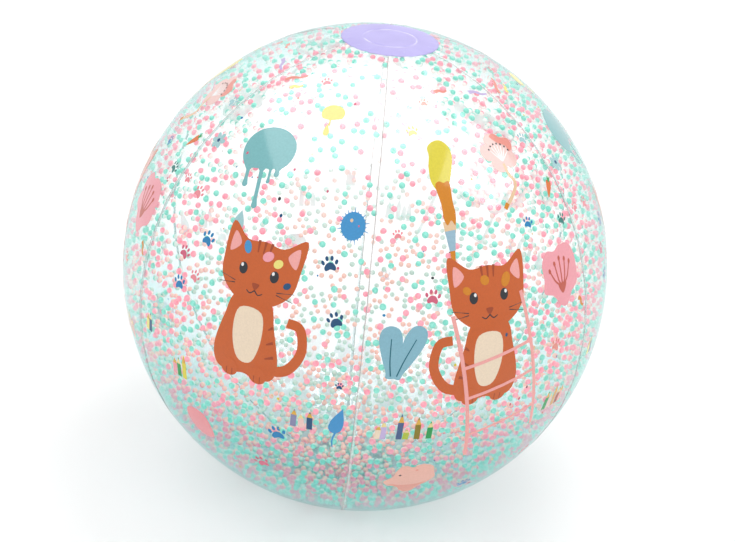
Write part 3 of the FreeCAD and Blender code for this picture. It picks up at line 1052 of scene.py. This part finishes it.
def print_panel_a(sheet, shift, beside_valve):
    """Cat, teal splat and pencils, with a flower for the cat where the valve takes its place."""
    def at(longitude, latitude):
        return longitude + shift, latitude

    drips = [(-11.0, 4.0, 11), (-1.0, 4.2, 25), (5.2, 2.6, 9), (10.0, 3.6, 4)]
    splat(sheet, at(-35.8, 45.0), TEAL, 18.8, drips, 16)
    sheet.add(turned(teardrop(9.0, 13), 4), LIGHT_TEAL, *at(-34.4, 29.5))
    splat(sheet, at(-21, 57.5), YELLOW, 7.6, [(-1.0, 1.4, 4)], 12)
    sheet.add(turned(teardrop(4.2, 9), 12, 1.0, (0.5, -13)), YELLOW, *at(-21, 57.5))
    spiky_splat(sheet, at(-5.6, 34), BLUE, 7.6)
    spots = [(-9, 15, 4, 6, BLUE), (3, 13.5, 6, 4.5, BLOOM), (9, 11.5, 5, 4, YELLOW), (16, 3, 4, 3, NAVY)]
    if beside_valve:
        big_flower(sheet, at(-19, 24))
    else:
        cat(sheet, at(-25.4, 18.2), 1, spots)
    for longitude, latitude, ink, turn, size in (
        (-41, 23, PAW_BLUE, -10, 1.0),
        (-46.5, 18, ROSE, -22, 0.9),
        (-50, 30.5, PINK, -20, 0.85),
        (-56.5, 31.5, PINK, 15, 0.7),
        (-9.5, 25.5, NAVY, 14, 1.0),
        (-6.5, 14.5, NAVY, 22, 1.0),
        (-45.5, 11.5, PAW_BLUE, 12, 0.95),
        (-41.5, 14.5, PINK, -20, 0.8),
        (-17, -15, PAW_BLUE, 12, 1.15),
        (-22, -27, ROSE, 25, 1.1),
        (-4.2, 0.5, NAVY, 0, 0.5),
        (-33, 65, PINK, 35, 0.7),
    ):
        paw(sheet, at(longitude, latitude), ink, turn, size)
    pencils(sheet, at(-43.5, -10), [(-4.5, 13, BLOOM), (0.5, 15, GREEN), (5.5, 19, BRUSH_YELLOW)])
    pencils(sheet, at(-55, -4), [(-2, 12, YELLOW), (2, 14, NAVY)])
    pencils(sheet, at(-11.5, -11.5), [(-6, 15, GREY_LILAC), (-0.5, 12, PETAL), (5, 15, NAVY)])
    drop = teardrop(10, 22)
    sheet.add(turned(drop, -14), BLUE, *at(-3.8, -8))
    sheet.add(turned(strip(curved([(0, -9), (-1.5, -17), (-0.5, -24)]), 1.6, 0.7), -4), BLUE, *at(-3.8, -8))
    oval = smooth_loop([(-8, 10), (0, 13), (9, 9), (11, 0), (8, -11), (0, -14), (-8, -10), (-11, 0)])
    sheet.add(turned(oval, 18), linear("#F8989E"), *at(-39.5, -21.5))
    bookmark_streak(sheet, at(-50, 63), SALMON, 38, 16)
    bookmark_streak(sheet, at(-45, 61), YELLOW, 30, 9)
    daisy(sheet, at(-55, 42), LIGHT_TEAL, NAVY, 1.1)


def print_panel_b(sheet, shift):
    """Cat on a ladder, brush, flowers and leaves."""
    def at(longitude, latitude):
        return longitude + shift, latitude

    brush(sheet, at(18.5, 48))
    flower_with_painted_reflection(sheet, at(41.5, 49), at(36, 37))
    big_flower(sheet, at(49.8, 20.0))
    spots = [(-10, 12, 5, 7, OCHRE), (2, 13, 5, 4.5, OCHRE), (12, 9, 4.5, 3.6, OCHRE)]
    cat(sheet, at(27.5, 17.5), -1, spots)
    ladder(sheet, (at(27, -19), at(44.6, -14.6)), (at(18.6, 16.7), at(36, 20)))
    plant(sheet, at(6.6, 3.5))
    for longitude, latitude, ink, turn, size in (
        (18, 63, SALMON, 0, 0.6),
        (10.5, 55.5, YELLOW, 10, 0.75),
        (42, 33, PAW_BLUE, -20, 0.75),
        (55.5, 50, LIGHT_TEAL, -35, 0.8),
        (5.5, 33, PINK, 8, 0.6),
        (14, 20.5, ROSE, -6, 0.95),
        (47, 5, SALMON, -24, 0.9),
        (55, 31, DARK_TEAL, -30, 0.8),
        (52, -28, PINK, -20, 1.0),
        (33, -33, PAW_BLUE, 10, 1.0),
    ):
        paw(sheet, at(longitude, latitude), ink, turn, size)
    row = [(-16.5, 12, CREAM), (-12.5, 16, LILAC), (-2, 22, linear("#45608F"))]
    row += [(2.2, 9, LIME), (10, 19, OLIVE), (18, 15, GREEN)]
    pencils(sheet, at(10.3, -12), row)
    row = [(-8, 16, GREEN), (-3, 14, PETAL), (1.5, 18, linear("#E2B070"))]
    pencils(sheet, at(50.5, -12), row + [(6, 14, DARK_ORANGE), (10, 15, LADDER_PINK)])
    cloud(sheet, at(15.2, -26.5))
    carrot(sheet, at(55, 38.5), -35)
    bookmark_streak(sheet, at(52, 63.5), LILAC, -30, 15)
    bookmark_streak(sheet, at(30, 66), SALMON, -10, 9)
    bookmark_streak(sheet, at(57, 12), OCHRE, -60, 10)


def sprinkle_dots(sheet, start, seed):
    """Tiny paint flecks over a panel."""
    draw = random.Random(seed)
    inks = (BLACK, NAVY, ROSE, SALMON, BRUSH_YELLOW, PAW_BLUE, PALE_STEM, ROSE)
    for _ in range(34):
        longitude = start + draw.uniform(3, PANEL - 3)
        latitude = math.degrees(math.asin(draw.uniform(-0.75, 0.9)))
        width = draw.uniform(0.8, 2.2)
        ink = draw.choice(inks)
        height = width * draw.uniform(0.8, 1.5)
        if (Vector(on_wall(longitude, latitude, 0)) - VALVE_PLACE).length > VALVE_KEEP_CLEAR:
            dot(sheet, (longitude, latitude), ink, width, height)


def make_prints(materials):
    for index in range(GORE_COUNT):
        sheet = PrintSheet()
        start = index * PANEL
        if index % 2:
            print_panel_a(sheet, start + PANEL, index == VALVE_PANEL)
        else:
            print_panel_b(sheet, start)
        sprinkle_dots(sheet, start, 40 + index)
        sheet.build("print_panel_%d" % (index + 1), materials)


# ---------------------------------------------------------------- beads

BEAD_RADIUS = 2.1 * MM
BEAD_GAP = 0.45 * MM
BEAD_COUNT = 6400
HEAP_DEPTH = 9 * MM
FLAT_TRIES = 700
HEAP_LEVEL = 0.55
THIN_BAND = (-0.05, 0.30)
THIN_BAND_SHARE = 0.5
VALVE_CLEARANCE = 0.017


def bead_density(direction):
    """Share of beads that stay where they land: most low and on one side, few in a slanting band."""
    x, y, z = direction
    share = 0.24 + 0.85 * max(0.0, x - 0.25) + 0.80 * max(0.0, -z) ** 1.3 + 0.20 * max(0.0, -x - 0.5)
    share -= 0.08 * max(0.0, 1 - 1.5 * math.dist(direction, (-0.10, -0.70, 0.70)))
    across = -0.9 * y + 0.43 * z
    share *= THIN_BAND_SHARE if THIN_BAND[0] < across < THIN_BAND[1] else 1.0
    patch = math.sin(9 * x + 2) * math.sin(8 * y + 1) * math.sin(9 * z)
    return max(0.09, share + 0.16 * patch)


def scatter_beads(valve_place):
    """Centres and radii of beads that cling to the wall or lie in the bottom, none overlapping."""
    draw = random.Random(11)
    cell = 2.6 * BEAD_RADIUS
    taken = {}
    beads = []

    def settle(place, radius):
        key = tuple(int(math.floor(value / cell)) for value in place)
        near = [
            other
            for dx in (-1, 0, 1)
            for dy in (-1, 0, 1)
            for dz in (-1, 0, 1)
            for other in taken.get((key[0] + dx, key[1] + dy, key[2] + dz), ())
        ]
        if any(math.dist(place, other) < size + radius for other, size in near):
            return
        taken.setdefault(key, []).append((place, radius))
        beads.append((np.array(place), radius))

    def bead_size():
        return BEAD_RADIUS * draw.uniform(0.88, 1.10)

    for _ in range(FLAT_TRIES):
        radius = bead_size()
        reach = (FLAT - MM) * math.sqrt(draw.random())
        angle = 2 * math.pi * draw.random()
        height = DISC_FILM + FILM + BEAD_GAP + radius + HEAP_DEPTH * draw.random()
        settle((reach * math.sin(angle), -reach * math.cos(angle), height), radius)
    tries = 0
    while len(beads) < BEAD_COUNT and tries < 60000:
        tries += 1
        z = draw.uniform(-0.993, 0.993)
        longitude = draw.uniform(0, 360)
        flat = math.sqrt(1 - z * z)
        turn = math.radians(longitude)
        direction = (flat * math.sin(turn), -flat * math.cos(turn), z)
        if draw.random() > bead_density(direction):
            continue
        radius = bead_size()
        latitude = math.degrees(math.asin(z))
        heap = HEAP_DEPTH * max(0.0, -z - HEAP_LEVEL) / (1 - HEAP_LEVEL) * draw.random()
        place = tuple(on_wall(longitude, latitude, -FILM - BEAD_GAP - radius - heap))
        if (Vector(place) - valve_place).length > VALVE_CLEARANCE:
            settle(place, radius)
    return beads


def ball_template():
    """Points and triangles of a small sphere."""
    form = bmesh.new()
    bmesh.ops.create_icosphere(form, subdivisions=2, radius=1.0)
    points = np.array([vert.co[:] for vert in form.verts])
    triangles = np.array([[vert.index for vert in face.verts] for face in form.faces])
    form.free()
    return points, triangles


def make_beads(name, beads, material, node):
    points, triangles = ball_template()
    draw = np.random.default_rng(len(name))
    clouds = []
    faces = []
    for index, (place, radius) in enumerate(beads):
        stretch = 1 + draw.uniform(-0.05, 0.05, 3)
        clouds.append(points * stretch * radius + place)
        faces.append(triangles + index * len(points))
    piece = make_mesh(name, np.concatenate(clouds), np.concatenate(faces).tolist(), [material])
    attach(piece, "ball")
    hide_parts(node)
    return piece


# ---------------------------------------------------------------- valve

MOUNT = [m for m in frame["record"]["mounts"] if m["name"] == "pump_mouth"][0]
VALVE_AXIS = Vector(MOUNT["axis"]).normalized()
VALVE_MOUTH = -0.1 * MM
VALVE_PLACE = Vector(MOUNT["pos_m"]) - VALVE_AXIS * VALVE_MOUTH
VALVE_X = Vector((-VALVE_AXIS.y, VALVE_AXIS.x, 0)).normalized()
VALVE_Y = VALVE_AXIS.cross(VALVE_X)
VALVE_PANEL = 3
VALVE_HOLE = 7 * MM
VALVE_KEEP_CLEAR = 0.016


def valve_point(radius, angle, height):
    """A point of the valve, with heights measured outwards from the film."""
    spin = math.radians(angle)
    side = VALVE_X * (radius * math.cos(spin)) + VALVE_Y * (radius * math.sin(spin))
    return VALVE_PLACE + side + VALVE_AXIS * height


def make_cuff(material):
    """Rolling skin between the flange and the root of the stem."""
    outer = [(7.6, -1.6), (7.6, -2.1), (7.1, -2.1)]
    inner = [(6.5, -1.6)]
    for step in range(1, 11):
        share = step / 11
        fold = 0.10 * math.sin(share * math.pi * 5)
        outer.append((7.05 - 1.45 * share + fold, -2.1 - 7.0 * share))
    for step in range(10, 0, -1):
        share = step / 11
        fold = 0.10 * math.sin(share * math.pi * 5)
        inner.insert(0, (6.5 - 1.45 * share + fold, -1.6 - 7.0 * share))
    profile = outer + [(5.6, -9.1), (5.6, -9.6), (4.7, -9.6), (4.7, -9.1)] + inner
    columns = 64
    points = [
        tuple(valve_point(radius * MM, 360 * column / columns, height * MM))
        for radius, height in profile + profile[:1]
        for column in range(columns)
    ]
    rows = len(profile)
    points = points[: rows * columns]
    faces = grid_faces(rows, columns, 0, True, closed=True)
    last = (rows - 1) * columns
    for column in range(columns):
        after = (column + 1) % columns
        faces.append((last + column, column, after, last + after))
    piece = make_mesh("cuff_skin", points, faces, [material])
    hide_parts("valve_cuff")
    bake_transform(piece)
    return piece


def make_strap(material):
    """Strap that winds round the plug's head from the stem's collar to the plug's lug."""
    sections = []
    for step in range(61):
        angle = 205 - 180 * step / 60
        foot = angle > 191
        low = -0.1 if foot else 0.0
        ring = [(4.8, low + 0.15), (4.95, low), (5.95, low), (6.1, low + 0.15)]
        ring += [(6.1, 0.78), (5.98, 0.9), (4.92, 0.9), (4.8, 0.78)]
        sections.append([tuple(valve_point(r * MM, angle, h * MM)) for r, h in ring])
    columns = 8
    points = [point for section in sections for point in section]
    rows = len(sections)
    faces = grid_faces(rows, columns, 0, False, closed=True)
    faces.append(tuple(range(columns)))
    faces.append(tuple(reversed(range((rows - 1) * columns, rows * columns))))
    piece = make_mesh("plug_strap_band", points, faces, [material])
    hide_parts("plug_strap")
    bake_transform(piece)
    return piece


def cut_valve_hole(piece, material):
    """Round hole through a film panel, as in the CAD panel, for the stem to slide in."""
    columns = 64
    points = [
        tuple(valve_point(VALVE_HOLE, 360 * column / columns, height))
        for height in (-VALVE_HOLE, VALVE_HOLE)
        for column in range(columns)
    ]
    faces = grid_faces(2, columns, 0, False, closed=True)
    faces.append(tuple(range(columns)))
    faces.append(tuple(reversed(range(columns, 2 * columns))))
    cutter = make_mesh("hole_cutter", points, faces, [material])
    hole = piece.modifiers.new("hole", "BOOLEAN")
    hole.operation = "DIFFERENCE"
    hole.solver = "EXACT"
    hole.object = cutter
    cut = piece.evaluated_get(bpy.context.evaluated_depsgraph_get())
    piece.data = bpy.data.meshes.new_from_object(cut)
    piece.modifiers.clear()
    bpy.data.objects.remove(cutter)


def finish_valve(material, plug_material):
    paints = dict.fromkeys(("valve_flange", "valve_stem", "check_flap"), material)
    paints["valve_plug"] = plug_material
    for name, paint in paints.items():
        node = frame["nodes"][name]
        if not node.material_slots:
            node.data.materials.append(paint)
        for holder in node.material_slots:
            holder.material = paint
    make_cuff(material)
    make_strap(plug_material)


# ---------------------------------------------------------------- build

make_film = film_material()
lap_finish = lap_material()
for gore in range(GORE_COUNT):
    panel = make_panel(gore, make_film)
    if gore == VALVE_PANEL:
        cut_valve_hole(panel, make_film)
    make_lap(gore, lap_finish)
lilac = disc_material()
make_end_disc("end_disc_top", "top_disc", 1, lilac)
make_end_disc("end_disc_bottom", "bottom_disc", -1, clear_disc_material())
make_prints([ink_material(), underbase_material()])
# The last two colours of each foam are its painted haze, low and high.
pink = bead_material("pink_foam", linear("#F9A0B0"), linear("#F17F97"), linear("#EDBDB0"), linear("#FDEDEA"))
mint = bead_material("mint_foam", linear("#83DCCB"), linear("#5CC6B2"), linear("#B9D3C8"), linear("#EFF5F2"))
beads = scatter_beads(VALVE_PLACE)
colour_draw = random.Random(5)
colours = [colour_draw.random() < 0.52 for _ in beads]
for part in range(2):
    pink_beads = [bead for bead, is_pink in zip(beads, colours) if is_pink][part::2]
    mint_beads = [bead for bead, is_pink in zip(beads, colours) if not is_pink][part::2]
    make_beads("pink_beads_%d" % (part + 1), pink_beads, pink, "beads_pink")
    make_beads("mint_beads_%d" % (part + 1), mint_beads, mint, "beads_mint")
clear_vinyl = soft_vinyl_material("clear_vinyl", (0.80, 0.90, 0.92, 1.0), 0.45)
plug_vinyl = soft_vinyl_material("plug_vinyl", (0.88, 0.93, 0.95, 1.0), 0.6)
finish_valve(clear_vinyl, plug_vinyl)


# ---------------------------------------------------------------- floor, light and camera

CAMERA_AZIMUTH = -1.64
CAMERA_ELEVATION = 26.69
CAMERA_DISTANCE = 6.5
CAMERA_LEAN = 6.25
CAMERA_LENS = 76.19
CAMERA_SHIFT = (0.0016, -0.0027, 0)

def add_floor():
    size = 40 * EQUATOR
    level = -0.2 * MM
    corners = [(-size, -size, level), (size, -size, level), (size, size, level), (-size, size, level)]
    floor = make_mesh("floor", corners, [(0, 1, 2, 3)], [floor_material()], False)


def add_panel_light(name, low, high, rise, radiance):
    """Overhead softbox seen in reflections only, in ball radii beside and above the centre."""
    width = (high[0] - low[0]) * EQUATOR
    depth = (high[1] - low[1]) * EQUATOR
    light = bpy.data.lights.new(name, "AREA")
    light.shape = "RECTANGLE"
    light.size = width
    light.size_y = depth
    light.energy = radiance * math.pi * width * depth
    lamp = bpy.data.objects.new(name, light)
    lamp.visible_diffuse = False
    middle = ((low[0] + high[0]) / 2 * EQUATOR, (low[1] + high[1]) / 2 * EQUATOR)
    lamp.location = (middle[0], middle[1], CENTRE.z + rise * EQUATOR)
    bpy.context.scene.collection.objects.link(lamp)


def add_key_light(place, size, radiance):
    """Softbox aimed at the ball, which casts its soft shadow."""
    light = bpy.data.lights.new("key_light", "AREA")
    light.shape = "SQUARE"
    light.size = size * EQUATOR
    light.energy = radiance * math.pi * light.size**2
    lamp = bpy.data.objects.new("key_light", light)
    lamp.location = CENTRE + Vector(place) * EQUATOR
    lamp.rotation_euler = Vector(place).to_track_quat("Z", "Y").to_euler()
    bpy.context.scene.collection.objects.link(lamp)


def add_world(strength):
    world = bpy.data.worlds.new("studio")
    world.use_nodes = True
    background = world.node_tree.nodes["Background"]
    background.inputs["Color"].default_value = (1.0, 1.0, 1.0, 1.0)
    background.inputs["Strength"].default_value = strength
    bpy.context.scene.world = world


def add_camera():
    """Looks down at the ball from the front, with the ball's axis leaning to the right."""
    azimuth = math.radians(CAMERA_AZIMUTH)
    elevation = math.radians(CAMERA_ELEVATION)
    distance = CAMERA_DISTANCE * EQUATOR
    lean = math.radians(CAMERA_LEAN)
    back = Vector(
        (
            math.sin(azimuth) * math.cos(elevation),
            -math.cos(azimuth) * math.cos(elevation),
            math.sin(elevation),
        )
    )
    turn = back.to_track_quat("Z", "Y").to_matrix() @ Matrix.Rotation(lean, 3, "Z")
    data = bpy.data.cameras.new("camera")
    data.sensor_width = 36.0
    data.sensor_fit = "HORIZONTAL"
    data.lens = CAMERA_LENS
    data.clip_start = 0.05
    camera = bpy.data.objects.new("camera", data)
    aim = turn @ Vector(CAMERA_SHIFT)
    camera.matrix_world = Matrix.Translation(CENTRE + back * distance + aim) @ turn.to_4x4()
    bpy.context.scene.collection.objects.link(camera)
    bpy.context.scene.camera = camera


add_floor()
add_world(1.12)
add_panel_light("left_panel", (-5.4, -2.6), (2.0, 4.0), 6.0, 2.8)
add_panel_light("right_panel", (2.9, -2.6), (8.0, 2.0), 6.0, 2.8)
add_key_light((1.2, 0.6, 6.4), 2.8, 3.6)
add_camera()
scene = bpy.context.scene
scene.view_settings.view_transform = "Standard"
scene.cycles.transparent_max_bounces = 40
